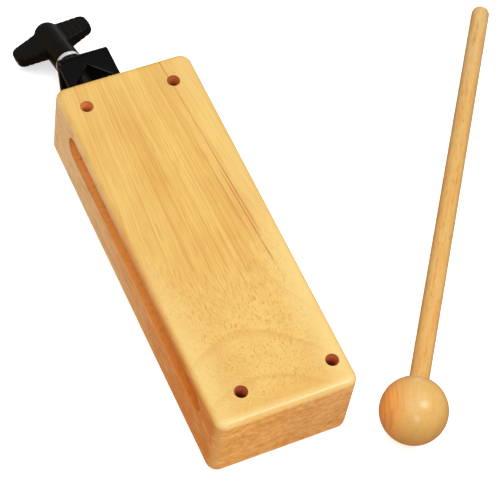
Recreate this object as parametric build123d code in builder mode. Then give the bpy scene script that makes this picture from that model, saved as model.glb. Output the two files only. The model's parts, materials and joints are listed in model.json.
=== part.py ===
"""Slotted woodblock with a rod clamp and a wooden beater, lying on a table (millimetres, degrees)."""

import os
from math import acos, atan2, cos, degrees, hypot, pi, radians, sin, sqrt, tan

from build123d import *

os.makedirs("parts", exist_ok=True)

# The block is modelled lying square: along Y, clamp at the +Y end, slot in the -X side, underside at z = 0.
# Wooden block
block_length = 196
block_width = 70
block_height = 43
corner_round = 5.5  # upright edges
edge_round = 3.3  # edges of the top and of the underside

# Sound slot
slot_length = 155
slot_height = 13.7
slot_roof = 6.2  # wood left above the slot
slot_back = 12  # wood left between the slot and the far side
slot_shift = -1.5  # slot's middle from the block's middle, along Y
mouth_round = 0.8

# Screw holes through the four corners
hole_diameter = 6.3
hole_spread = 45  # across the block
hole_inset = 14.5  # from each end
front_pair_shift = 4.8  # front pair's middle from the block's middle, along X
rear_pair_shift = -0.9

# Clamp strap
strap_width = 27.5
notch_depth = 1.2  # the -X edge steps in where the strap bends
notch_round = 0.5
strap_thickness = 2.8
tongue_length = 52  # part of the strap that lies under the block
strap_overhang = 50  # from the block's end to the corner of the rear bend
clamp_drop = 28  # from the block's underside to the foot of the clamp
wall_lean = 23  # rear wall, from upright
bend_round = 5  # outside of both bends
strap_end_round = 4
rod_hole_side = 14  # square hole
rod_hole_turn = 45  # set cornerwise
rod_hole_edge = 12.1  # from the rear bend's corner to the top hole's corner
arm_end_wall = 6  # strap left in front of the lower hole

# Wood screws that hold the strap
screw_shank_diameter = 4
screw_grip = 16  # thread length in the wood
screw_head_diameter = 8
screw_head_height = 2.6
screw_head_slope = 1.5  # bevel round the head's face
screw_count = 2
screw_spacing = 30
screw_inset = 10  # rear screw from the block's end
screw_clearance = 0.2  # between shank and strap, radial
pilot_clearance = 0.03

# Wing bolt, nut and washer
stud_diameter = 8
stud_clearance = 0.05  # in the nut, radial
wall_hole_clearance = 0.3
stud_drop = 13  # where its axis crosses the wall, below the block's underside
stud_shift = -3.2  # its axis from the strap's middle, along X
stud_reach = 16  # past the wall's inner face
stud_socket = 20  # length moulded into the handle
stud_tip_chamfer = 1
nut_sides = 6
nut_across_flats = 13
nut_length = 6.5
nut_face_diameter = 12.4  # flat ring left by the chamfer
nut_chamfer_angle = 30
washer_diameter = 14.2
washer_thickness = 2.4
washer_clearance = 0.25
washer_edge_chamfer = 0.3
back_off = 0.4  # gap between nut and washer with the bolt screwed home

# Moulded wing handle
hub_base_diameter = 14.6
hub_diameter = 14.2
hub_length = 38.4
wing_span = 43
wing_root_bottom = 13.9  # heights along the bolt's axis, from the hub's base
wing_root_top = 34.4
wing_tip_bottom = 18.4
wing_tip_top = 30.9
wing_tip_round = 4.5
wing_root_thickness = 8
wing_tip_thickness = 5
wing_edge_round = 1.2
wing_blend = 2  # hollow between wing and hub
wing_roll = 13  # turn of the wings about the bolt's axis

# Beater
ball_diameter = 32.2
dowel_diameter = 9.5
beater_length = 297
dowel_socket = 20  # length of dowel inside the ball
dowel_end_round = 3.6
glue_clearance = 0.03
ball_side = 60.2  # where the ball's middle lies, from the block's middle
ball_ahead = 111.4
beater_yaw = 35.4  # handle's direction, from +Y towards +X

# Worked-out sizes
block_end = block_length / 2
slot_depth = block_width - slot_back
slot_middle = block_height - slot_roof - slot_height / 2
hole_rows = [(-block_end + hole_inset, front_pair_shift), (block_end - hole_inset, rear_pair_shift)]
hole_places = [(shift + side * hole_spread / 2, row) for row, shift in hole_rows for side in (-1, 1)]
screw_places = [(0, block_end - screw_inset - step * screw_spacing) for step in range(screw_count)]

lean = radians(wall_lean)
tongue_front = block_end - tongue_length
wall_top = block_end + strap_overhang
notch_start = wall_top - bend_round * tan((pi / 2 + lean) / 2) - 2 * notch_round  # just ahead of the bend
notch_top = 2 * strap_thickness
wall_foot = wall_top - clamp_drop * tan(lean)
rod_hole_half = rod_hole_side / sqrt(2)
top_hole_y = wall_top - rod_hole_edge - rod_hole_half
low_hole_y = top_hole_y - clamp_drop * tan(lean)
arm_front = low_hole_y - rod_hole_half - arm_end_wall

bolt_axis = Vector(0, cos(lean), -sin(lean))
wall_up = Vector(0, sin(lean), cos(lean))
bolt_seat = Vector(stud_shift, wall_top - stud_drop * tan(lean), -stud_drop)
bolt_plane = Plane(origin=bolt_seat, x_dir=(1, 0, 0), z_dir=bolt_axis)
bolt_profile_plane = Plane(origin=bolt_seat, x_dir=(1, 0, 0), z_dir=wall_up)
nut_corner_radius = nut_across_flats / 2 / cos(pi / nut_sides)
nut_chamfer_height = (nut_corner_radius - nut_face_diameter / 2) * tan(radians(nut_chamfer_angle))
washer_height = nut_length + back_off
hub_base_height = washer_height + washer_thickness
hub_base = bolt_seat + bolt_axis * hub_base_height
wing_direction = Vector(1, 0, 0) * cos(radians(wing_roll)) + wall_up * sin(radians(wing_roll))
wing_plane = Plane(origin=hub_base, x_dir=wing_direction, z_dir=wing_direction.cross(bolt_axis))
wing_end_plane = Plane(origin=hub_base, x_dir=wing_direction, z_dir=bolt_axis)

# On a table the set rests on the block's front edge and on the front end of the clamp's lower arm.
edge_to_foot_y = -block_end + edge_round - arm_front
edge_to_foot_z = edge_round + clamp_drop
foot_distance = hypot(edge_to_foot_y, edge_to_foot_z)
rest_lean = atan2(edge_to_foot_y, edge_to_foot_z) + acos(edge_round / foot_distance)
rest_height = clamp_drop * cos(rest_lean) - arm_front * sin(rest_lean)
rest_plane = Plane(
    origin=(0, 0, rest_height),
    x_dir=(1, 0, 0),
    z_dir=(0, -sin(rest_lean), cos(rest_lean)),
)

# The beater lies on its ball and on the free end of its handle.
ball_radius = ball_diameter / 2
dowel_length = beater_length - 2 * ball_radius + dowel_socket
handle_run = beater_length - ball_radius - dowel_end_round  # from the ball's middle to the touching point
handle_dip = (ball_radius - dowel_diameter / 2) / handle_run
handle_level = sqrt(1 - handle_dip**2)
beater_direction = Vector(
    sin(radians(beater_yaw)) * handle_level,
    cos(radians(beater_yaw)) * handle_level,
    -handle_dip,
)
beater_plane = Plane(origin=(ball_side, -ball_ahead, ball_radius), z_dir=beater_direction)

# Block, hollowed by the slot and drilled for the corner screws and the strap's screws
with BuildPart() as block:
    with BuildSketch():
        RectangleRounded(block_width, block_length, corner_round)
    extrude(amount=block_height)
    fillet(block.faces().filter_by(Axis.Z).edges(), edge_round)
    with BuildSketch(Plane.YZ.offset(-block_width / 2)):
        with Locations((slot_shift, slot_middle)):
            SlotOverall(slot_length, slot_height)
    extrude(amount=slot_depth, mode=Mode.SUBTRACT)
    slotted_side = block.faces().filter_by(Axis.X).sort_by(Axis.X)[0]
    fillet(slotted_side.inner_wires()[0].edges(), mouth_round)
    with BuildSketch():
        with Locations(*hole_places):
            Circle(hole_diameter / 2)
    extrude(amount=block_height, mode=Mode.SUBTRACT)
    with BuildSketch():
        with Locations(*screw_places):
            Circle(screw_shank_diameter / 2 + pilot_clearance)
    extrude(amount=screw_grip, mode=Mode.SUBTRACT)
block.part.label = "block_body"

# Strap, bent round the rod's path, with a square hole set cornerwise in each arm
with BuildPart() as strap:
    with BuildSketch(Plane.YZ.offset(strap_width / 2)):
        with BuildLine():
            FilletPolyline(
                (tongue_front, 0),
                (wall_top, 0),
                (wall_foot, -clamp_drop),
                (arm_front, -clamp_drop),
                radius=bend_round,
            )
            offset(amount=strap_thickness, side=Side.RIGHT)
        make_face()
    extrude(amount=-strap_width)
    with BuildSketch(Plane.YZ.offset(-strap_width / 2)):
        Polygon(
            (notch_start, 0),
            (wall_top, 0),
            (wall_top, -clamp_drop),
            (arm_front, -clamp_drop),
            (arm_front, -notch_top),
            (notch_start, -notch_top),
            align=None,
        )
    extrude(amount=notch_depth, mode=Mode.SUBTRACT)
    corners = strap.edges().filter_by(Axis.Z).group_by(Axis.Y)
    fillet(corners[0] + corners[1], strap_end_round)
    fillet(corners[-1], notch_round)
    with BuildSketch():
        with Locations((0, top_hole_y)):
            Rectangle(rod_hole_side, rod_hole_side, rotation=rod_hole_turn)
        with Locations(*screw_places):
            Circle(screw_shank_diameter / 2 + screw_clearance)
    extrude(amount=-strap_thickness, mode=Mode.SUBTRACT)
    with BuildSketch(Plane.XY.offset(-clamp_drop)):
        with Locations((0, low_hole_y)):
            Rectangle(rod_hole_side, rod_hole_side, rotation=rod_hole_turn)
    extrude(amount=strap_thickness, mode=Mode.SUBTRACT)
    with BuildSketch(bolt_plane):
        Circle(stud_diameter / 2 + wall_hole_clearance)
    extrude(amount=-strap_thickness, mode=Mode.SUBTRACT)
strap.part.label = "clamp_strap"

# Wood screws with bevelled pan heads, driven up through the strap
with BuildPart() as screws:
    with BuildSketch(Plane.XY.offset(-strap_thickness)):
        with Locations(*screw_places):
            Circle(screw_head_diameter / 2)
    extrude(amount=-screw_head_height)
    chamfer(screws.faces().filter_by(Axis.Z).group_by(Axis.Z)[0].edges(), screw_head_slope)
    with BuildSketch(Plane.XY.offset(-strap_thickness)):
        with Locations(*screw_places):
            Circle(screw_shank_diameter / 2)
    extrude(amount=strap_thickness + screw_grip)
screws.part.label = "strap_screws"

# Hexagon nut, welded to the outside of the strap's rear wall
with BuildPart() as nut:
    with BuildSketch(bolt_plane):
        RegularPolygon(nut_across_flats / 2, nut_sides, major_radius=False)
    extrude(amount=nut_length)
    with BuildSketch(bolt_profile_plane):
        Polygon(
            (0, 0),
            (nut_corner_radius, 0),
            (nut_corner_radius, nut_length - nut_chamfer_height),
            (nut_face_diameter / 2, nut_length),
            (0, nut_length),
            align=None,
        )
    revolve(axis=Axis(bolt_seat, bolt_axis), mode=Mode.INTERSECT)
    with BuildSketch(bolt_plane):
        Circle(stud_diameter / 2 + stud_clearance)
    extrude(amount=nut_length, mode=Mode.SUBTRACT)
nut.part.label = "weld_nut"

# Loose washer on the stud, against the hub
with BuildPart() as washer:
    with BuildSketch(bolt_plane.offset(washer_height)):
        Circle(washer_diameter / 2)
        Circle(stud_diameter / 2 + washer_clearance, mode=Mode.SUBTRACT)
    extrude(amount=washer_thickness)
    rims = washer.edges().filter_by(GeomType.CIRCLE).group_by(SortBy.RADIUS)[-1]
    chamfer(rims, washer_edge_chamfer)
washer.part.label = "thrust_washer"

# Stud, plain where it is threaded
with BuildPart() as stud:
    with BuildSketch(bolt_plane.offset(-strap_thickness - stud_reach)):
        Circle(stud_diameter / 2)
    extrude(amount=strap_thickness + stud_reach + hub_base_height + stud_socket)
    tip = stud.edges().sort_by(Axis(bolt_seat, bolt_axis))[0]
    chamfer(tip, stud_tip_chamfer)
stud.part.label = "wing_stud"

# Handle: two tapering paddles, cut from their side view and their end view, on a domed hub
with BuildPart() as wing:
    with BuildSketch(wing_plane) as paddles:
        with BuildLine():
            Polyline(
                (0, wing_root_bottom),
                (wing_span / 2, wing_tip_bottom),
                (wing_span / 2, wing_tip_top),
                (0, wing_root_top),
            )
            mirror(about=Plane.YZ)
        make_face()
        tip_corners = paddles.vertices().group_by(Axis.X)
        fillet(tip_corners[0] + tip_corners[-1], wing_tip_round)
    extrude(amount=wing_root_thickness / 2, both=True)
    with BuildSketch(wing_end_plane):
        with BuildLine():
            Polyline(
                (0, wing_root_thickness / 2),
                (wing_span / 2, wing_tip_thickness / 2),
                (wing_span / 2, -wing_tip_thickness / 2),
                (0, -wing_root_thickness / 2),
            )
            mirror(about=Plane.YZ)
        make_face()
    extrude(amount=hub_length, mode=Mode.INTERSECT)
    rims = wing.edges().filter_by(Axis(hub_base, wing_plane.z_dir), reverse=True)
    rims = rims.filter_by(lambda rim: abs(wing_plane.to_local_coords(rim.center()).X) > wing_edge_round)
    fillet(rims, wing_edge_round)
    with BuildSketch(wing_plane):
        with BuildLine():
            base = Line((0, 0), (hub_base_diameter / 2, 0))
            side = Line(base @ 1, (hub_diameter / 2, hub_length - hub_diameter / 2))
            dome = RadiusArc(side @ 1, (0, hub_length), -hub_diameter / 2)
            Line(dome @ 1, base @ 0)
        make_face()
    revolve(axis=Axis(hub_base, bolt_axis))
    fillet(wing.edges(Select.NEW), wing_blend)
    with BuildSketch(bolt_plane.offset(hub_base_height)):
        Circle(stud_diameter / 2 + stud_clearance)
    extrude(amount=stud_socket, mode=Mode.SUBTRACT)
wing.part.label = "wing_handle"

# Ball, bored for the dowel
with BuildPart(beater_plane) as head:
    Sphere(ball_radius)
    with BuildSketch(beater_plane.offset(ball_radius - dowel_socket)):
        Circle(dowel_diameter / 2 + glue_clearance)
    extrude(amount=dowel_socket, mode=Mode.SUBTRACT)
head.part.label = "beater_head"

# Dowel, glued in the ball and rounded at its free end
with BuildPart() as dowel:
    with BuildSketch(beater_plane.offset(ball_radius - dowel_socket)):
        Circle(dowel_diameter / 2)
    extrude(amount=dowel_length)
    free_end = dowel.edges().sort_by(Axis(beater_plane.origin, beater_direction))[-1]
    fillet(free_end, dowel_end_round)
dowel.part.label = "beater_handle"

# The block and its clamp lean as they lie, and the whole set is centred over its own footprint.
leaning = [block, strap, screws, nut, washer, stud, wing]
lying = [head, dowel]
placed = [piece.part.moved(rest_plane.location) for piece in leaning] + [piece.part for piece in lying]
box = Compound(placed).bounding_box()
centring = Location((-box.center().X, -box.center().Y, 0))
for piece in placed:
    export_step(piece.moved(centring), f"parts/{piece.label}.step")
print("lean of the block at rest:", round(degrees(rest_lean), 3))
print("shift of the set:", [round(value, 4) for value in centring.position])
print("bolt seat:", [round(value, 4) for value in (centring * rest_plane.location * Location(bolt_seat)).position])
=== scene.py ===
import json
from math import cos, pi, radians
import bmesh
import bpy
from mathutils import Matrix, Vector

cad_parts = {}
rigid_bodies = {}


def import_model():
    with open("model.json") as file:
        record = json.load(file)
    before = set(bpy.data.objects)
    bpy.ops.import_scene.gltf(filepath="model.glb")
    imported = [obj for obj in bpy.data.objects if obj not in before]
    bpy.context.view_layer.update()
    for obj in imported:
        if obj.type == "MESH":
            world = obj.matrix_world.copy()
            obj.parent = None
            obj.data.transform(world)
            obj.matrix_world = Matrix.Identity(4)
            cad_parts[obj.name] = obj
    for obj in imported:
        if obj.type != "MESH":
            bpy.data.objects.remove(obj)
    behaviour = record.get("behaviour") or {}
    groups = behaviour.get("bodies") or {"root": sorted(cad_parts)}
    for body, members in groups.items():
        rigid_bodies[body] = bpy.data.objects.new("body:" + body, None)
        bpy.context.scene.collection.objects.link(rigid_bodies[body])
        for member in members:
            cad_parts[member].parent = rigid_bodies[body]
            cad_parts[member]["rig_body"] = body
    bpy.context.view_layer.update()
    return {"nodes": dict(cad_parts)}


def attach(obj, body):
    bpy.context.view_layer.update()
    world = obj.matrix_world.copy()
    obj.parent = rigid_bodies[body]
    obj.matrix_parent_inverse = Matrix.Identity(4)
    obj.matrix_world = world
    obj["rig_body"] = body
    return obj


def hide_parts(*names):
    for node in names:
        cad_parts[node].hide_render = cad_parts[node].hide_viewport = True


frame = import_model()
nodes = frame["nodes"]
scene = bpy.context.scene
print("frame loaded:", sorted(nodes))

millimetre = 0.001  # metres


def turned(degrees, axis):
    return Matrix.Rotation(radians(degrees), 4, axis)


def moved(*spot):  # millimetres
    return Matrix.Translation(Vector(spot) * millimetre)


# where the pieces lie at rest, in millimetres and degrees
rest = dict(
    blockAt=(-95.1189, -30.8674, 13.6201), blockLean=8.24827,
    boltAt=(-3.2, 142.4818, -13), boltTilt=-113, wingTurn=-13,
    ballAt=(-34.9189, -142.2674, 16.1), beaterTurn=-35.4, beaterDip=-2.346,
)
blockPlace = moved(*rest["blockAt"]) @ turned(rest["blockLean"], "X")  # on its underside, y to the clamp
boltPlace = blockPlace @ moved(*rest["boltAt"]) @ turned(rest["boltTilt"], "X")  # z runs out of the clamp
wingPlace = boltPlace @ turned(rest["wingTurn"], "Z")  # x along the wings
beaterTurn = turned(rest["beaterTurn"], "Z") @ turned(rest["beaterDip"], "X")
beaterPlace = moved(*rest["ballAt"]) @ beaterTurn  # y along the handle
toMetres = Matrix.Scale(millimetre, 4)


class Field:  # a shader socket that takes part in Python maths
    def __init__(self, graph, socket):
        self.graph = graph
        self.socket = socket

    def math(self, operation, *others):
        return self.graph.node("Math", {"operation": operation}, dict(enumerate((self, *others))))

    def out(self, name):
        return Field(self.graph, self.socket.node.outputs[name])

    def __add__(self, other):
        return self.math("ADD", other)

    def __sub__(self, other):
        return self.math("SUBTRACT", other)

    def __rsub__(self, other):
        return self.graph.node("Math", {"operation": "SUBTRACT"}, {0: other, 1: self})

    def __mul__(self, other):
        return self.math("MULTIPLY", other)

    def __truediv__(self, other):
        return self.math("DIVIDE", other)

    def __pow__(self, other):
        return self.math("POWER", other)

    def __abs__(self):
        return self.math("ABSOLUTE")

    __radd__ = __add__
    __rmul__ = __mul__


class Graph:  # the nodes of one material, or of the studio's light
    def __init__(self, owner):
        self.owner = owner
        owner.use_nodes = True
        self.tree = owner.node_tree
        self.tree.nodes.clear()

    def node(self, kind, settings=None, sockets=None, take=0):
        made = self.tree.nodes.new("ShaderNode" + kind)
        for key, value in (settings or {}).items():
            if key == "stops":
                self.setStops(made.color_ramp, value)
            else:
                setattr(made, key, value)
        for key, value in (sockets or {}).items():
            if isinstance(value, Field):
                self.tree.links.new(value.socket, made.inputs[key])
            else:
                made.inputs[key].default_value = value
        return Field(self, made.outputs[take]) if made.outputs else None

    def setStops(self, band, stops):
        while len(band.elements) < len(stops):
            band.elements.new(0.5)
        for element, (at, colour) in zip(band.elements, stops):
            element.position = at
            element.color = colour

    def local(self, place):  # millimetres in a piece's own frame
        spot, turn, _ = place.decompose()
        sockets = {"Vector": self.node("TexCoord", take="Object"), "Location": spot}
        sockets.update({"Rotation": turn.to_euler(), "Scale": (millimetre,) * 3})
        apart = self.node("SeparateXYZ", None, {0: self.node("Mapping", {"vector_type": "TEXTURE"}, sockets)})
        return [apart.out(axis) for axis in "XYZ"]

    def noise(self, spot, scales, detail=2, rough=0.5):  # scales in features per millimetre
        stretched = [at * scale for at, scale in zip(spot, scales)]
        where = self.node("CombineXYZ", None, dict(enumerate(stretched)))
        sockets = {"Vector": where, "Scale": 1.0, "Detail": detail, "Roughness": rough}
        return self.node("TexNoise", None, sockets)

    def ramp(self, value, low, high):  # 0 at low, 1 at high
        sockets = {"Value": value, "From Min": low, "From Max": high}
        return self.node("MapRange", {"interpolation_type": "SMOOTHSTEP"}, sockets)

    def fade(self, value, low, high):  # 1 at low, 0 at high
        return 1.0 - self.ramp(value, low, high)

    def within(self, value, low, high, soft):
        return self.ramp(value, low - soft, low + soft) * self.fade(value, high - soft, high + soft)

    def mix(self, share, first, second):  # sockets 6 and 7 and output 2 are the node's colours
        return self.node("Mix", {"data_type": "RGBA"}, {0: share, 6: first, 7: second}, 2)

    def finish(self, sockets, bump=None, depth=0.0001, strength=1.0):  # depth in metres
        if bump is not None:
            relief = {"Height": bump, "Distance": depth, "Strength": strength}
            sockets["Normal"] = self.node("Bump", None, relief)
        self.node("OutputMaterial", None, {"Surface": self.node("BsdfPrincipled", None, sockets)})
        return self.owner


def newPaint(name):
    return Graph(bpy.data.materials.new(name))


def rgb(red, green, blue):
    return (red, green, blue, 1.0)


def span(first, second):  # length of the two sides' diagonal
    return (first * first + second * second) ** 0.5


# lacquered hardwood: rings round a pith, fibres and pores along y that dive towards the front
blockWood = dict(
    place=blockPlace, pithX=-10, pithZ=-46, ringStep=10.0, ringShift=0.67, wander=3,
    bendFrom=-18, bend=0.0042, early=0.025, fan=0.003, fanFrom=95,
    pale=rgb(0.648, 0.415, 0.095), gold=rgb(0.520, 0.255, 0.029),
    late=rgb(0.52, 0.23, 0.022), pore=rgb(0.44, 0.175, 0.012),
    fleck=0.4, fleckFront=0.5, fibre=0.5, hair=0.42, bump=0.35,
)
beaterWood = dict(
    place=beaterPlace, pithX=-30, pithZ=-8, ringStep=5.5, ringShift=0.0, wander=5,
    bendFrom=-400, bend=0.0, early=0.0, fan=0.0, fanFrom=0,
    pale=rgb(0.61, 0.40, 0.128), gold=rgb(0.55, 0.30, 0.070),
    late=rgb(0.50, 0.24, 0.048), pore=rgb(0.32, 0.13, 0.03),
    fleck=0.02, fleckFront=0.0, fibre=0.18, hair=0.09, bump=0.1,
)
grainScales = dict(  # across, along and into the wood
    slow=(0.03, 0.007, 0.03), broad=(0.13, 0.004, 0.11), fibre=(2.2, 0.013, 1.8),
    hair=(0.42, 0.0025, 0.3), pores=(2.3, 0.065, 1.7), cloud=(0.06, 0.025, 0.06),
)
grainCuts = dict(  # cuts and shares that both woods have in common
    front=(15, 60), frontCalm=0.25, broad=0.3, tone=(-0.2, 0.22),
    lateRise=(0.77, 0.95), lateFall=(0.95, 1.0), lateGaps=(0.5, 1.1), late=0.15, lateFront=0.58,
    pores=(0.58, 0.67), hair=(0.0, 0.03), hairGaps=(0.3, 0.6),
)
lacquer = dict(
    rough=0.36, fibreRough=0.12, fleckRough=0.2, shine=0.3,
    coat=0.65, skinLoss=0.5, coatRough=0.2, coatIor=1.45, fibreHeight=0.4, depth=0.00012,
)


def woodPaint(name, look, marks):
    paint = newPaint(name)
    spot = paint.local(look["place"])
    x, y, z = spot
    early = x * x * look["early"]  # the fibres dive sooner at the margins than in the middle
    bend = (look["bendFrom"] - y).math("MAXIMUM", 0.0)
    dive = (look["bendFrom"] + early - y).math("MAXIMUM", 0.0)
    across = x / (1.0 + (look["fanFrom"] - y) * look["fan"])
    inGrain = (across, y, z - dive * dive * look["bend"])
    slow = paint.noise(inGrain, grainScales["slow"]) - 0.5
    broad = paint.noise(inGrain, grainScales["broad"])
    fibre = paint.noise(inGrain, grainScales["fibre"], detail=3, rough=0.65)
    hair = paint.noise(inGrain, grainScales["hair"], rough=0.6)
    pores = paint.noise(inGrain, grainScales["pores"], detail=1)
    cloud = paint.noise(spot, grainScales["cloud"], detail=3)
    front = paint.ramp(early - y, *grainCuts["front"])

    fibres = (fibre - 0.5) * (1.0 - grainCuts["frontCalm"] * front) * look["fibre"]
    tone = paint.ramp((broad + cloud - 1.0) * grainCuts["broad"] + fibres, *grainCuts["tone"])
    colour = paint.mix(tone, look["pale"], look["gold"])
    ringZ = z - bend * bend * look["bend"]
    radius = span(x - look["pithX"], ringZ - look["pithZ"]) + slow * look["wander"]
    ring = (radius / look["ringStep"] + look["ringShift"]).math("FRACT")
    late = paint.ramp(ring, *grainCuts["lateRise"]) * paint.fade(ring, *grainCuts["lateFall"])
    late = late * paint.ramp(fibre + cloud, *grainCuts["lateGaps"])
    late = late * (grainCuts["late"] + grainCuts["lateFront"] * front)
    colour = paint.mix(late, colour, look["late"])
    fleck = paint.ramp(pores, *grainCuts["pores"]) * (look["fleck"] + look["fleckFront"] * front)
    hairs = paint.fade(abs(hair - 0.5), *grainCuts["hair"]) * paint.ramp(fibre, *grainCuts["hairGaps"])
    hairs = hairs * (1.0 - front) * look["hair"]
    colour = paint.mix(fleck.math("MAXIMUM", hairs), colour, look["pore"])

    grain = dict(across=across, slow=slow, fibre=fibre, front=front, fleck=fleck)
    colour, skin = marks(paint, spot, grain, colour)
    rough = lacquer["rough"] + fibre * lacquer["fibreRough"] + fleck * lacquer["fleckRough"]
    sockets = {"Base Color": colour, "Roughness": rough, "Specular IOR Level": lacquer["shine"]}
    sockets["Coat Weight"] = lacquer["coat"] - skin * lacquer["skinLoss"]
    sockets.update({"Coat Roughness": lacquer["coatRough"], "Coat IOR": lacquer["coatIor"]})
    return paint.finish(sockets, fibre * lacquer["fibreHeight"] - fleck, lacquer["depth"], look["bump"])


# the block's top: paler at the front, the right and the rear, a painted sheen along the margins, golden at
# the front edge, a few dark lines
topLook = dict(
    paleAndSheen=rgb(0.67, 0.485, 0.17), waver=12.0, front=0.2, margin=(16, 36), marginShare=0.18, marginFront=0.2,
    right=(12, 33), rightShare=0.22, rear=(55, 95), rearShare=0.15,
    strip=rgb(0.56, 0.28, 0.035), stripY=(-92, -80), stripX=4.0, stripHalf=(14, 34), stripShare=0.35,
    line=rgb(0.40, 0.10, 0.006), lineHalf=(0.1, 0.55), lineWaver=1.2, lineFade=10,
    lineGaps=(0.4, 0.6), lineLeast=0.45,
    lines=(  # place across the top, start, end and share
        (-25.2, 50, 105, 0.6), (19.3, -8, 105, 1.0), (18.0, -30, 24, 0.7),
        (15.1, -10, 45, 0.4), (5.2, -34, 0, 0.5),
    ),
)


def paintTop(paint, spot, grain, colour):
    look = topLook
    x, y = spot[:2]
    wavering = x + grain["slow"] * look["waver"]
    # painted sheen along both margins
    margin = paint.ramp(abs(wavering), *look["margin"])
    paler = grain["front"] * look["front"]
    paler = paler + margin * (look["marginShare"] + look["marginFront"] * grain["front"])
    paler = paler + paint.ramp(x, *look["right"]) * look["rightShare"]
    paler = paler + paint.ramp(y, *look["rear"]) * look["rearShare"]
    colour = paint.mix(paler, colour, look["paleAndSheen"])
    strip = paint.fade(y, *look["stripY"]) * paint.fade(abs(wavering - look["stripX"]), *look["stripHalf"])
    colour = paint.mix(strip * look["stripShare"], colour, look["strip"])
    gaps = look["lineLeast"] + (1 - look["lineLeast"]) * paint.ramp(grain["fibre"], *look["lineGaps"])
    for at, start, stop, share in look["lines"]:
        away = abs(grain["across"] - at + grain["slow"] * look["lineWaver"])
        line = paint.fade(away, *look["lineHalf"]) * paint.within(y, start, stop, look["lineFade"])
        colour = paint.mix(line * gaps * share, colour, look["line"])
    return colour


# the block's sides and ends: deeper and more orange than the top, partly the end grain's own colour and
# partly painted shade; orange at the front and paler behind, mottled, the ends banded
skinLook = dict(
    halfWidth=35, halfLength=98, turn=(-4, 4), height=(-3.0, 41.2), soft=1.8, share=0.85, fleck=0.4,
    sideFront=rgb(0.76, 0.20, 0.006), sideRear=rgb(1.0, 0.75, 0.42), sideRun=(-95, 95), sideWaver=80.0,
    endLeft=rgb(0.98, 0.54, 0.145), endRight=rgb(0.87, 0.51, 0.195), endRun=(-30, 30), endWaver=40.0,
    dark=rgb(0.66, 0.25, 0.042), blotchScales=(0.07, 0.03, 0.12),
    bandsFrom=-75.0, bandScales=(0.4, 0.02, 0.004), bandWaver=0.5, bands=(0.34, 0.7), bandShare=0.72,
    mottleScales=(0.3, 0.12, 0.5), mottleDark=(0.48, 0.66), darkShare=0.55,
    mottlePale=(0.34, 0.5), paleShare=0.4,
)
crackLook = dict(  # a dark line that rises across the front end
    colour=rgb(0.52, 0.15, 0.022), atX=23.5, atZ=10.7, slope=1.03, waver=2.0, half=(0.2, 0.8),
    runX=(21, 36), soft=1.5, runY=(-97, -94), share=0.75,
)
cornerHighlightLook = dict(  # a painted highlight down the front left corner
    colour=rgb(0.74, 0.58, 0.26), runX=(-33, -30), runY=(-96, -92.5), gaps=(0.35, 0.6), share=0.55,
)


def paintSides(paint, spot, grain, blotch, colour):
    look = skinLook
    x, y, z = spot
    bands = paint.noise((span(x, z - look["bandsFrom"]), x, y), look["bandScales"], detail=5, rough=0.65)
    toRight = paint.ramp(x + blotch * look["endWaver"], *look["endRun"])
    endTone = paint.mix(toRight, look["endLeft"], look["endRight"])
    banded = paint.ramp(bands + blotch * look["bandWaver"], *look["bands"]) * look["bandShare"]
    endTone = paint.mix(banded, endTone, look["dark"])
    toRear = paint.ramp(y + blotch * look["sideWaver"], *look["sideRun"])
    sideTone = paint.mix(toRear, look["sideFront"], look["sideRear"])
    toEnd = paint.ramp(abs(y) - look["halfLength"] - (abs(x) - look["halfWidth"]), *look["turn"])
    tone = paint.mix(toEnd, sideTone, endTone)
    mottle = paint.noise(spot, look["mottleScales"], detail=4, rough=0.65)
    tone = paint.mix(paint.ramp(mottle, *look["mottleDark"]) * look["darkShare"], tone, look["dark"])
    tone = paint.mix(paint.fade(mottle, *look["mottlePale"]) * look["paleShare"], tone, look["sideRear"])
    rise = z - crackLook["atZ"] - (x - crackLook["atX"]) * crackLook["slope"]
    crack = paint.fade(abs(rise + (mottle - 0.5) * crackLook["waver"]), *crackLook["half"])
    crack = crack * paint.within(x, *crackLook["runX"], crackLook["soft"])
    crack = crack * paint.fade(y, *crackLook["runY"])
    tone = paint.mix(crack * crackLook["share"], tone, crackLook["colour"])
    # painted highlight down the front left corner's rounding
    cornerHighlight = paint.fade(x, *cornerHighlightLook["runX"]) * paint.fade(y, *cornerHighlightLook["runY"])
    cornerHighlight = cornerHighlight * paint.ramp(mottle, *cornerHighlightLook["gaps"])
    tone = paint.mix(cornerHighlight * cornerHighlightLook["share"], tone, cornerHighlightLook["colour"])
    tone = paint.mix(grain["fleck"] * look["fleck"], tone, look["dark"])
    # the sides' and ends' tone is partly painted shade
    skin = paint.within(z, *look["height"], look["soft"]) * look["share"]
    return paint.mix(skin, colour, tone), skin


# the block's edges: a painted highlight along the front rim, and a darker strip above the slot
rimHighlightLook = dict(
    colour=rgb(0.74, 0.58, 0.26), runY=(-95.5, -92.0), runZ=(40.2, 41.4), gaps=(0.3, 0.6), least=0.4,
    share=0.45,
)
darkStripLook = dict(
    colour=rgb(0.66, 0.25, 0.042), runX=(-34.2, -32.6), runY=(-75, 25), fade=30,
    runZ=(37.0, 42.3), soft=0.8, share=0.4,
)


def paintEdges(paint, spot, grain, colour):
    x, y, z = spot
    gaps = rimHighlightLook["least"] + (1 - rimHighlightLook["least"]) * paint.ramp(grain["fibre"], *rimHighlightLook["gaps"])
    # painted highlight along the front top edge
    rim = paint.fade(y, *rimHighlightLook["runY"]) * paint.ramp(z, *rimHighlightLook["runZ"]) * gaps
    colour = paint.mix(rim * rimHighlightLook["share"], colour, rimHighlightLook["colour"])
    # a darker strip along the left top edge above the slot
    darkStrip = paint.within(z, *darkStripLook["runZ"], darkStripLook["soft"]) * paint.fade(x, *darkStripLook["runX"])
    darkStrip = darkStrip * paint.within(y, *darkStripLook["runY"], darkStripLook["fade"])
    return paint.mix(darkStrip * darkStripLook["share"], colour, darkStripLook["colour"])
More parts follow.
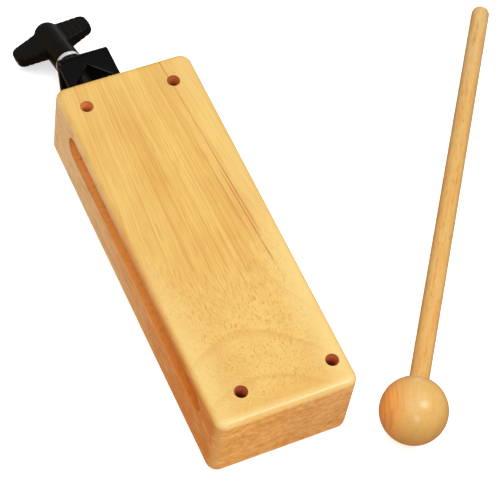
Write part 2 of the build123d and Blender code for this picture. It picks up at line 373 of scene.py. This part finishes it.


# inside the sound slot: cutter strokes, with painted shade at the mouth's rim, in the depth and just inside
# the mouth, most of all at the rear
slotLook = dict(
    runX=(-35.2, 23.6), soft=0.3, middleY=-1.5, middleZ=29.95, straight=70.65, reach=(6.95, 7.6), share=0.9,
    front=rgb(0.80, 0.25, 0.026), rear=rgb(0.92, 0.37, 0.060), toneRun=(-80, 0),
    # the dark colour serves both the cutter strokes and the painted shade
    dark=rgb(0.52, 0.15, 0.022), rearRun=(-10, 70), rearWaver=60.0,
    strokeScales=(0.3, 0.5, 0.1), strokeLean=1.5, strokes=(0.5, 0.75), strokeShare=0.42, strokeRear=0.25,
    mouthX=(-34.4, -33.4), mouthReach=(6.2, 7.0), mouthShare=0.3, mouthRear=0.5,
    deepX=(-29, -20), deepShare=0.12, deepRear=0.3, lipX=(-34, -30), lipShare=0.15,
)


def paintSlot(paint, spot, blotch, colour):
    look = slotLook
    x, y, z = spot
    past = (abs(y - look["middleY"]) - look["straight"]).math("MAXIMUM", 0.0)  # into the round ends
    away = span(past, z - look["middleZ"])
    rear = paint.ramp(y + blotch * look["rearWaver"], *look["rearRun"])
    slanted = (x, y + z * look["strokeLean"], z)
    strokes = paint.ramp(paint.noise(slanted, look["strokeScales"], detail=3), *look["strokes"])
    strokes = strokes * (look["strokeShare"] + look["strokeRear"] * rear)
    # painted shadow along the slot's rim at the mouth
    mouth = paint.fade(x, *look["mouthX"]) * paint.ramp(away, *look["mouthReach"])
    mouth = mouth * (look["mouthShare"] + look["mouthRear"] * rear)
    # painted shade deeper in the slot
    deep = paint.ramp(x, *look["deepX"]) * (look["deepShare"] + look["deepRear"] * rear)
    # painted shade on the walls just inside the mouth
    lip = paint.fade(x, *look["lipX"]) * look["lipShare"]
    tone = paint.mix(paint.ramp(y, *look["toneRun"]), look["front"], look["rear"])
    for shade in (strokes.math("MAXIMUM", mouth), deep, lip):
        tone = paint.mix(shade, tone, look["dark"])
    inside = paint.within(x, *look["runX"], look["soft"]) * paint.fade(away, *look["reach"])
    return paint.mix(inside * look["share"], colour, tone)


# inside the drilled holes: each wall's own colour, with painted shade at the lip and deeper down
holeLook = dict(
    holes=(  # x, y and the wall's colour, the raw wood with each hole's own painted light and shade
        (-17.7, -83.5, rgb(0.76, 0.215, 0.095)), (27.3, -83.5, rgb(0.82, 0.245, 0.09)),
        (-23.4, 83.5, rgb(1.0, 0.44, 0.145)), (21.6, 83.5, rgb(0.80, 0.28, 0.08)),
    ),
    reach=(3.2, 3.6), top=(42.6, 43.0), dark=rgb(0.10, 0.02, 0.006),
    deepZ=(33.0, 38.5), deepShare=0.75, lipZ=42.5, lipHalf=(0.3, 1.0), lipShare=0.5,
)


def paintHoles(paint, spot, colour):
    look = holeLook
    x, y, z = spot
    # painted shade deeper in the hole
    deep = paint.fade(z, *look["deepZ"]) * look["deepShare"]
    # painted shade just under the lip
    lip = paint.fade(abs(z - look["lipZ"]), *look["lipHalf"]) * look["lipShare"]
    shade = deep.math("MAXIMUM", lip)
    below = paint.fade(z, *look["top"])
    for holeX, holeY, wall in look["holes"]:
        hole = paint.fade(span(x - holeX, y - holeY), *look["reach"]) * below
        colour = paint.mix(hole, colour, paint.mix(shade, wall, look["dark"]))
    return colour


def markBlock(paint, spot, grain, colour):
    blotch = paint.noise(spot, skinLook["blotchScales"], detail=3) - 0.5
    colour = paintTop(paint, spot, grain, colour)
    colour, skin = paintSides(paint, spot, grain, blotch, colour)
    colour = paintEdges(paint, spot, grain, colour)
    colour = paintSlot(paint, spot, blotch, colour)
    return paintHoles(paint, spot, colour), skin


# the beater: the ball's left side and underside deeper orange, partly heartwood with lines and partly painted
# shade, streaks and specks on the handle
beaterMarks = dict(
    neck=(14, 22), slant=0.21, tip=rgb(0.56, 0.42, 0.18), tipRun=(120, 330), tipShare=0.75,
    heartAndShade=rgb(0.86, 0.32, 0.064), heartAndShadeX=(-16.0, -0.5), shadeBelowZ=(-16, 4), shadeBelow=0.85,
    heartAndShadeOnHandle=0.25, heartAndShadeShare=0.66,
    line=rgb(0.50, 0.14, 0.02), lineScales=(0.8, 0.01, 0.08), lines=(0.5, 0.66), lineShare=0.5,
    streak=rgb(0.60, 0.25, 0.05), streakScales=(0.8, 0.05, 0.8), streaks=(0.47, 0.6),
    streakShare=0.75, streakBallLess=0.55,
    speck=rgb(0.42, 0.15, 0.03), speckScales=(0.75, 0.16, 0.75), specks=(0.55, 0.72),
    speckShare=0.5, speckBallLess=0.3,
)


def markBeater(paint, spot, grain, colour):
    look = beaterMarks
    x, y, z = spot
    onBall = paint.fade(y, *look["neck"])
    across = x + y * onBall * look["slant"]  # the ball's grain runs aslant to the handle
    inGrain = (across, y, z)
    colour = paint.mix(paint.ramp(y, *look["tipRun"]) * look["tipShare"], colour, look["tip"])
    # painted shade on the underside
    low = paint.fade(z, *look["shadeBelowZ"]) * look["shadeBelow"]
    # the left side: heartwood, with painted shade
    heartAndShade = paint.fade(across, *look["heartAndShadeX"]).math("MAXIMUM", low)
    heartAndShade = heartAndShade * (look["heartAndShadeOnHandle"] + (1 - look["heartAndShadeOnHandle"]) * onBall)
    colour = paint.mix(heartAndShade * look["heartAndShadeShare"], colour, look["heartAndShade"])
    lines = paint.ramp(paint.noise(inGrain, look["lineScales"]), *look["lines"])
    colour = paint.mix(lines * heartAndShade * look["lineShare"], colour, look["line"])
    streak = paint.ramp(paint.noise(inGrain, look["streakScales"], detail=4, rough=0.7), *look["streaks"])
    streak = streak * (look["streakShare"] - look["streakBallLess"] * onBall)
    colour = paint.mix(streak, colour, look["streak"])
    speck = paint.ramp(paint.noise(inGrain, look["speckScales"], detail=3, rough=0.6), *look["specks"])
    speck = speck * (look["speckShare"] - look["speckBallLess"] * onBall)
    return paint.mix(speck, colour, look["speck"]), 0.0


# black paint on the clamp, with a painted highlight along one side of its upper rod hole
strapLook = dict(
    colour=rgb(0.0010, 0.0010, 0.0010), dusty=rgb(0.0022, 0.0020, 0.0018), dustScales=(0.12,) * 3,
    rough=0.22, dustRough=0.12, shine=0.1, peelScales=(0.9,) * 3, peelDepth=0.00008, peel=0.3,
    holeEdgeHighlight=rgb(0.030, 0.029, 0.027), holeY=126.0, holeReach=(9.9, 10.5), soft=0.2,
    topFace=(-1.2, -0.4), rightSide=(130, 137), gaps=(0.3, 0.55),
)


def strapPaint():
    look = strapLook
    paint = newPaint("blackPaint")
    spot = paint.local(blockPlace)
    x, y, z = spot
    peel = paint.noise(spot, look["peelScales"], detail=3)
    dust = paint.noise(spot, look["dustScales"], detail=3)
    colour = paint.mix(dust, look["colour"], look["dusty"])
    # painted highlight along the rod hole's edge
    holeEdgeHighlight = paint.within(abs(x) + abs(y - look["holeY"]), *look["holeReach"], look["soft"])
    holeEdgeHighlight = holeEdgeHighlight * paint.ramp(z, *look["topFace"]) * paint.ramp(y + x, *look["rightSide"])
    colour = paint.mix(holeEdgeHighlight * paint.ramp(dust, *look["gaps"]), colour, look["holeEdgeHighlight"])
    rough = look["rough"] + dust * look["dustRough"]
    sockets = {"Base Color": colour, "Roughness": rough, "Specular IOR Level": look["shine"]}
    return paint.finish(sockets, peel, look["peelDepth"], look["peel"])


# black moulding on the wings, finely grained
mouldLook = dict(
    colour=rgb(0.0018, 0.0015, 0.0012), paler=rgb(0.0040, 0.0032, 0.0024), wornScales=(0.08,) * 3,
    rough=0.26, grainRough=0.1, shine=0.15, tint=rgb(1.0, 0.93, 0.82),
    grainScales=(2.2,) * 3, grainDepth=0.00004, grain=0.5,
)


def mouldPaint():
    look = mouldLook
    paint = newPaint("blackMoulding")
    spot = paint.local(wingPlace)
    grain = paint.noise(spot, look["grainScales"], detail=3)
    paler = paint.noise(spot, look["wornScales"])
    colour = paint.mix(paler, look["colour"], look["paler"])
    rough = look["rough"] + grain * look["grainRough"]
    sockets = {"Base Color": colour, "Roughness": rough}
    sockets.update({"Specular IOR Level": look["shine"], "Specular Tint": look["tint"]})
    return paint.finish(sockets, grain, look["grainDepth"], look["grain"])


# plated steel: bright zinc on the washer and screws, black oxide on the stud
zincLook = dict(colour=rgb(0.90, 0.87, 0.84), dull=rgb(0.70, 0.66, 0.62), rough=0.26, metal=0.5)
oxideLook = dict(colour=rgb(0.010, 0.010, 0.009), dull=rgb(0.018, 0.016, 0.015), rough=0.42, metal=0.9)
plateGrain = dict(cloudScales=(0.5,) * 3, cloudRough=0.14, fineScales=(6.0,) * 3, depth=0.00003, fine=0.3)


def platePaint(name, look):
    paint = newPaint(name)
    spot = paint.local(boltPlace)
    cloud = paint.noise(spot, plateGrain["cloudScales"], detail=3)
    fine = paint.noise(spot, plateGrain["fineScales"], detail=1)
    colour = paint.mix(cloud, look["colour"], look["dull"])
    rough = look["rough"] + cloud * plateGrain["cloudRough"]
    sockets = {"Base Color": colour, "Metallic": look["metal"], "Roughness": rough}
    return paint.finish(sockets, fine, plateGrain["depth"], plateGrain["fine"])


blockPaint = woodPaint("blockWood", blockWood, markBlock)
beaterPaint = woodPaint("beaterWood", beaterWood, markBeater)
strapBlack = strapPaint()
mouldBlack = mouldPaint()
zinc = platePaint("brightZinc", zincLook)
oxide = platePaint("blackOxide", oxideLook)
print("finishes ready:", len(bpy.data.materials))

mergeGap = 2e-6  # metres, for a solid's loose triangles
spinGap = 1e-4  # millimetres, for the seam of a spun shape


def fromCad(node):  # a merged copy of a solid's mesh
    shape = bmesh.new()
    shape.from_mesh(nodes[node].data)
    bmesh.ops.remove_doubles(shape, verts=shape.verts, dist=mergeGap)
    return shape


def addPiece(shape, name, node, material, crease=35):  # crease in degrees
    bmesh.ops.recalc_face_normals(shape, faces=shape.faces)
    mesh = bpy.data.meshes.new(name)
    shape.to_mesh(mesh)
    shape.free()
    if "custom_normal" in mesh.attributes:  # the loose triangles' own normals no longer fit
        mesh.attributes.remove(mesh.attributes["custom_normal"])
    mesh.shade_smooth()
    mesh.set_sharp_from_angle(angle=radians(crease))
    mesh.materials.clear()
    mesh.materials.append(material)
    made = bpy.data.objects.new(name, mesh)
    scene.collection.objects.link(made)
    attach(made, nodes[node]["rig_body"])
    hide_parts(node)
    return made


def softEdges(made, width, segments=3, limit=30):  # metres and degrees
    edge = made.modifiers.new("softEdges", "BEVEL")
    edge.width = width
    edge.segments = segments
    edge.limit_method = "ANGLE"
    edge.angle_limit = radians(limit)
    edge.harden_normals = True


def evenNormals(made):
    even = made.modifiers.new("evenNormals", "WEIGHTED_NORMAL")
    even.keep_sharp = True
    even.weight = 100


def joinFlats(shape, limit=1):  # degrees between faces that count as one
    bmesh.ops.dissolve_limit(shape, angle_limit=radians(limit), verts=shape.verts, edges=shape.edges)
    return shape


def wholeOf(shape):
    return shape.verts[:] + shape.edges[:] + shape.faces[:]


def vertsAmong(items):
    return [item for item in items if isinstance(item, bmesh.types.BMVert)]


def openEdges(shape):
    return [edge for edge in shape.edges if edge.is_boundary]


def outline(shape, points, closed=False):  # a run of vertices and edges through (x, y, z) points
    verts = [shape.verts.new(point) for point in points]
    pairs = list(zip(verts, verts[1:]))
    if closed:
        pairs.append((verts[-1], verts[0]))
    return verts, [shape.edges.new(pair) for pair in pairs]


def spun(shape, profile, turns=1, steps=48, climb=0.0):  # (radius, height) points carried round z
    verts, edges = outline(shape, [(radius, 0, height) for radius, height in profile])
    bmesh.ops.spin(
        shape, geom=verts + edges, axis=(0, 0, 1), angle=2 * pi * turns, steps=steps * turns,
        dvec=(0, 0, climb / steps), use_merge=turns == 1,
    )
    bmesh.ops.remove_doubles(shape, verts=shape.verts, dist=spinGap)


blockShape = joinFlats(fromCad("block_body"))
block = addPiece(blockShape, "blockBody", "block_body", blockPaint, crease=50)
softEdges(block, width=0.00025, segments=2, limit=60)
evenNormals(block)

strapShape = joinFlats(fromCad("clamp_strap"))
strap = addPiece(strapShape, "clampStrap", "clamp_strap", strapBlack, crease=30)
softEdges(strap, width=0.00035)

nutShape = joinFlats(fromCad("weld_nut"))
nut = addPiece(nutShape, "weldNut", "weld_nut", strapBlack, crease=25)
softEdges(nut, width=0.0002, segments=2)

# shallow finger grooves across both faces of each wing
wingGrooves = dict(first=10.4, step=3.1, count=3, width=1.7, depth=0.28, cuts=6, facing=0.5)


def grooveWings(shape):
    size = wingGrooves
    bmesh.ops.transform(shape, matrix=(wingPlace @ toMetres).inverted(), verts=shape.verts)
    half = size["width"] / 2
    places = [size["first"] + index * size["step"] for index in range(size["count"])]
    middles = [side * place for side in (-1, 1) for place in places]
    for middle in middles:
        for cut in range(size["cuts"] + 1):
            at = middle + half * (2 * cut / size["cuts"] - 1)
            bmesh.ops.bisect_plane(shape, geom=wholeOf(shape), plane_co=(at, 0, 0), plane_no=(1, 0, 0))
    shape.normal_update()
    for vert in shape.verts:
        face = vert.normal.y
        away = min(abs(vert.co.x - middle) for middle in middles)
        if away < half and abs(face) > size["facing"]:
            vert.co.y -= face * size["depth"] * cos(away / half * pi / 2) ** 2
    bmesh.ops.transform(shape, matrix=wingPlace @ toMetres, verts=shape.verts)
    return shape


wingShape = grooveWings(fromCad("wing_handle"))
wing = addPiece(wingShape, "wingHandle", "wing_handle", mouldBlack, crease=50)
evenNormals(wing)

# the bolt's thread, one ridge carried up its length
studSizes = dict(
    pitch=1.25, major=3.98, minor=3.3, tip=-18.8, top=29.3, tipRadius=2.9, core=0.1, steps=32,
    ridge=((0, 0), (0, 0.12), (1, 0.46), (1, 0.58), (0, 0.92), (0, 1)),  # shares of depth and pitch
)


def threadedStud():
    shape = bmesh.new()
    size = studSizes
    pitch = size["pitch"]
    depth = size["major"] - size["minor"]
    low = size["tip"] - 2 * pitch  # the ridge begins and ends beyond the cuts
    ridge = [(size["minor"] + depth * out, low + pitch * along) for out, along in size["ridge"]]
    turns = int((size["top"] - low) / pitch) + 2
    spun(shape, ridge, turns, size["steps"], pitch)
    for height, way in ((size["tip"], -1), (size["top"], 1)):
        bmesh.ops.bisect_plane(
            shape, geom=wholeOf(shape), plane_co=(0, 0, height), plane_no=(0, 0, way), clear_outer=True,
        )
    bmesh.ops.holes_fill(shape, edges=openEdges(shape))
    for vert in shape.verts:  # bevelled tip
        widest = size["tipRadius"] + vert.co.z - size["tip"]
        vert.co.xy *= min(1, widest / max(vert.co.xy.length, size["core"]))
    bmesh.ops.transform(shape, matrix=boltPlace @ toMetres, verts=shape.verts)
    return shape


addPiece(threadedStud(), "wingStud", "wing_stud", oxide, crease=25)
addPiece(fromCad("thrust_washer"), "thrustWasher", "thrust_washer", zinc)

# pan-head wood screws under the strap, with a cross recess
screwSizes = dict(
    places=(88, 58), tip=16, tipRadius=0.5, tipRound=0.2, point=4, shank=2.0, seat=-2.8,
    head=4.0, slope=-3.9, shoulder=(0.4, 0.75), flat=2.5, face=-5.4,
    arm=1.7, half=0.42, sink=1.3, taper=0.7,
)


def strapScrews():
    shape = bmesh.new()
    size = screwSizes
    tip, shank, seat, head, slope = (size[name] for name in ("tip", "shank", "seat", "head", "slope"))
    inward, down = size["shoulder"]
    spun(shape, [
        (0, tip), (size["tipRadius"], tip - size["tipRound"]), (shank, tip - size["point"]), (shank, seat),
        (head, seat), (head, slope), (head - inward, slope - down), (size["flat"], size["face"]),
    ])
    rim = openEdges(shape)
    arm, half = size["arm"], size["half"]
    armPoints = [Vector(point) for point in ((arm, -half), (arm, half), (half, half))]
    quarters = [Matrix.Rotation(quarter * pi / 2, 2) for quarter in range(4)]
    corners = [(*(quarter @ point), size["face"]) for quarter in quarters for point in armPoints]
    _, cross = outline(shape, corners, closed=True)
    bmesh.ops.bridge_loops(shape, edges=rim + cross)
    recess = vertsAmong(bmesh.ops.extrude_edge_only(shape, edges=cross)["geom"])
    bmesh.ops.scale(shape, vec=(size["taper"], size["taper"], 1), verts=recess)
    bmesh.ops.translate(shape, vec=(0, 0, size["sink"]), verts=recess)
    bmesh.ops.holes_fill(shape, edges=openEdges(shape))
    first = wholeOf(shape)
    second = bmesh.ops.duplicate(shape, geom=first)["geom"]
    for screw, along in zip((first, second), size["places"]):
        bmesh.ops.translate(shape, vec=(0, along, 0), verts=vertsAmong(screw))
    bmesh.ops.transform(shape, matrix=blockPlace @ toMetres, verts=shape.verts)
    return shape


addPiece(strapScrews(), "strapScrews", "strap_screws", zinc, crease=30)
addPiece(fromCad("beater_head"), "beaterHead", "beater_head", beaterPaint, crease=40)
addPiece(fromCad("beater_handle"), "beaterHandle", "beater_handle", beaterPaint, crease=40)

# white table that neither shades nor tints the object
tableLook = dict(size=8.0, colour=rgb(0.95, 0.95, 0.95), rough=0.8, glow=0.55)
tableShape = bmesh.new()
bmesh.ops.create_grid(tableShape, x_segments=1, y_segments=1, size=tableLook["size"] / 2)
tableMesh = bpy.data.meshes.new("table")
tableShape.to_mesh(tableMesh)
tableShape.free()
table = bpy.data.objects.new("table", tableMesh)
scene.collection.objects.link(table)
white = {"Base Color": tableLook["colour"], "Roughness": tableLook["rough"]}
white.update({"Emission Color": tableLook["colour"], "Emission Strength": tableLook["glow"]})
tableMesh.materials.append(newPaint("tableWhite").finish(white))
for ray in ("diffuse", "glossy", "transmission", "shadow"):
    setattr(table, "visible_" + ray, False)

# studio tent: warm bounce from below, pale walls, dim upper walls, bright ceiling
tentLook = dict(
    strength=2.4, glossCut=0.7,
    stops=(  # height from straight down to straight up, and colour
        (0.00, rgb(0.33, 0.225, 0.145)), (0.47, rgb(0.33, 0.225, 0.145)),
        (0.52, rgb(0.36, 0.35, 0.34)), (0.64, rgb(0.34, 0.34, 0.34)),
        (0.72, rgb(0.18, 0.18, 0.18)), (0.86, rgb(0.18, 0.18, 0.18)),
        (0.92, rgb(0.95, 0.95, 0.95)), (1.00, rgb(1.0, 1.0, 1.0)),
    ),
)
scene.world = bpy.data.worlds.new("studio")
tent = Graph(scene.world)
lookingAt = tent.node("SeparateXYZ", None, {0: tent.node("TexCoord", take="Generated")})
upward = lookingAt.out("Z") * 0.5 + 0.5  # 0 straight down, 1 straight up
tentColour = tent.node("ValToRGB", {"stops": tentLook["stops"]}, {0: upward})
gloss = tent.node("LightPath", take="Is Glossy Ray")
tentStrength = tentLook["strength"] * (1.0 - gloss * tentLook["glossCut"])
sky = tent.node("Background", None, {"Color": tentColour, "Strength": tentStrength})
tent.node("OutputWorld", None, {"Surface": sky})
scene.view_settings.view_transform = "Standard"

# round soft boxes, all at one distance
lampDistance = 1.6
lamps = dict(
    keyLight=dict(direction=(0.31, -0.46, 0.83), size=0.65, watts=8.0),
    fillLight=dict(direction=(-0.28, -0.85, 0.45), size=0.45, watts=2.5),
    rimLight=dict(direction=(0.57, 0.81, 0.08), size=0.4, watts=0.8),
)


def softBox(name, direction, size, watts):
    data = bpy.data.lights.new(name, "AREA")
    data.shape = "DISK"
    data.size = size
    data.energy = watts
    lamp = bpy.data.objects.new(name, data)
    scene.collection.objects.link(lamp)
    outward = Vector(direction).normalized()
    lamp.location = outward * lampDistance
    lamp.rotation_euler = outward.to_track_quat("Z", "Y").to_euler()


for name, look in lamps.items():
    softBox(name, **look)

# camera at the photograph's angle, in metres and degrees
lens = dict(
    place=(-0.3830789, -0.6253021, 0.8302482), turn=(39.97832, -2.60799, -24.93792),
    focal=158.08, sensor=36.0,
)
cameraData = bpy.data.cameras.new("camera")
cameraData.lens = lens["focal"]
cameraData.sensor_width = lens["sensor"]
camera = bpy.data.objects.new("camera", cameraData)
camera.location = lens["place"]
camera.rotation_euler = [radians(angle) for angle in lens["turn"]]
scene.collection.objects.link(camera)
scene.camera = camera
print("studio ready:", len(lamps), "lamps")

bpy.context.view_layer.update()
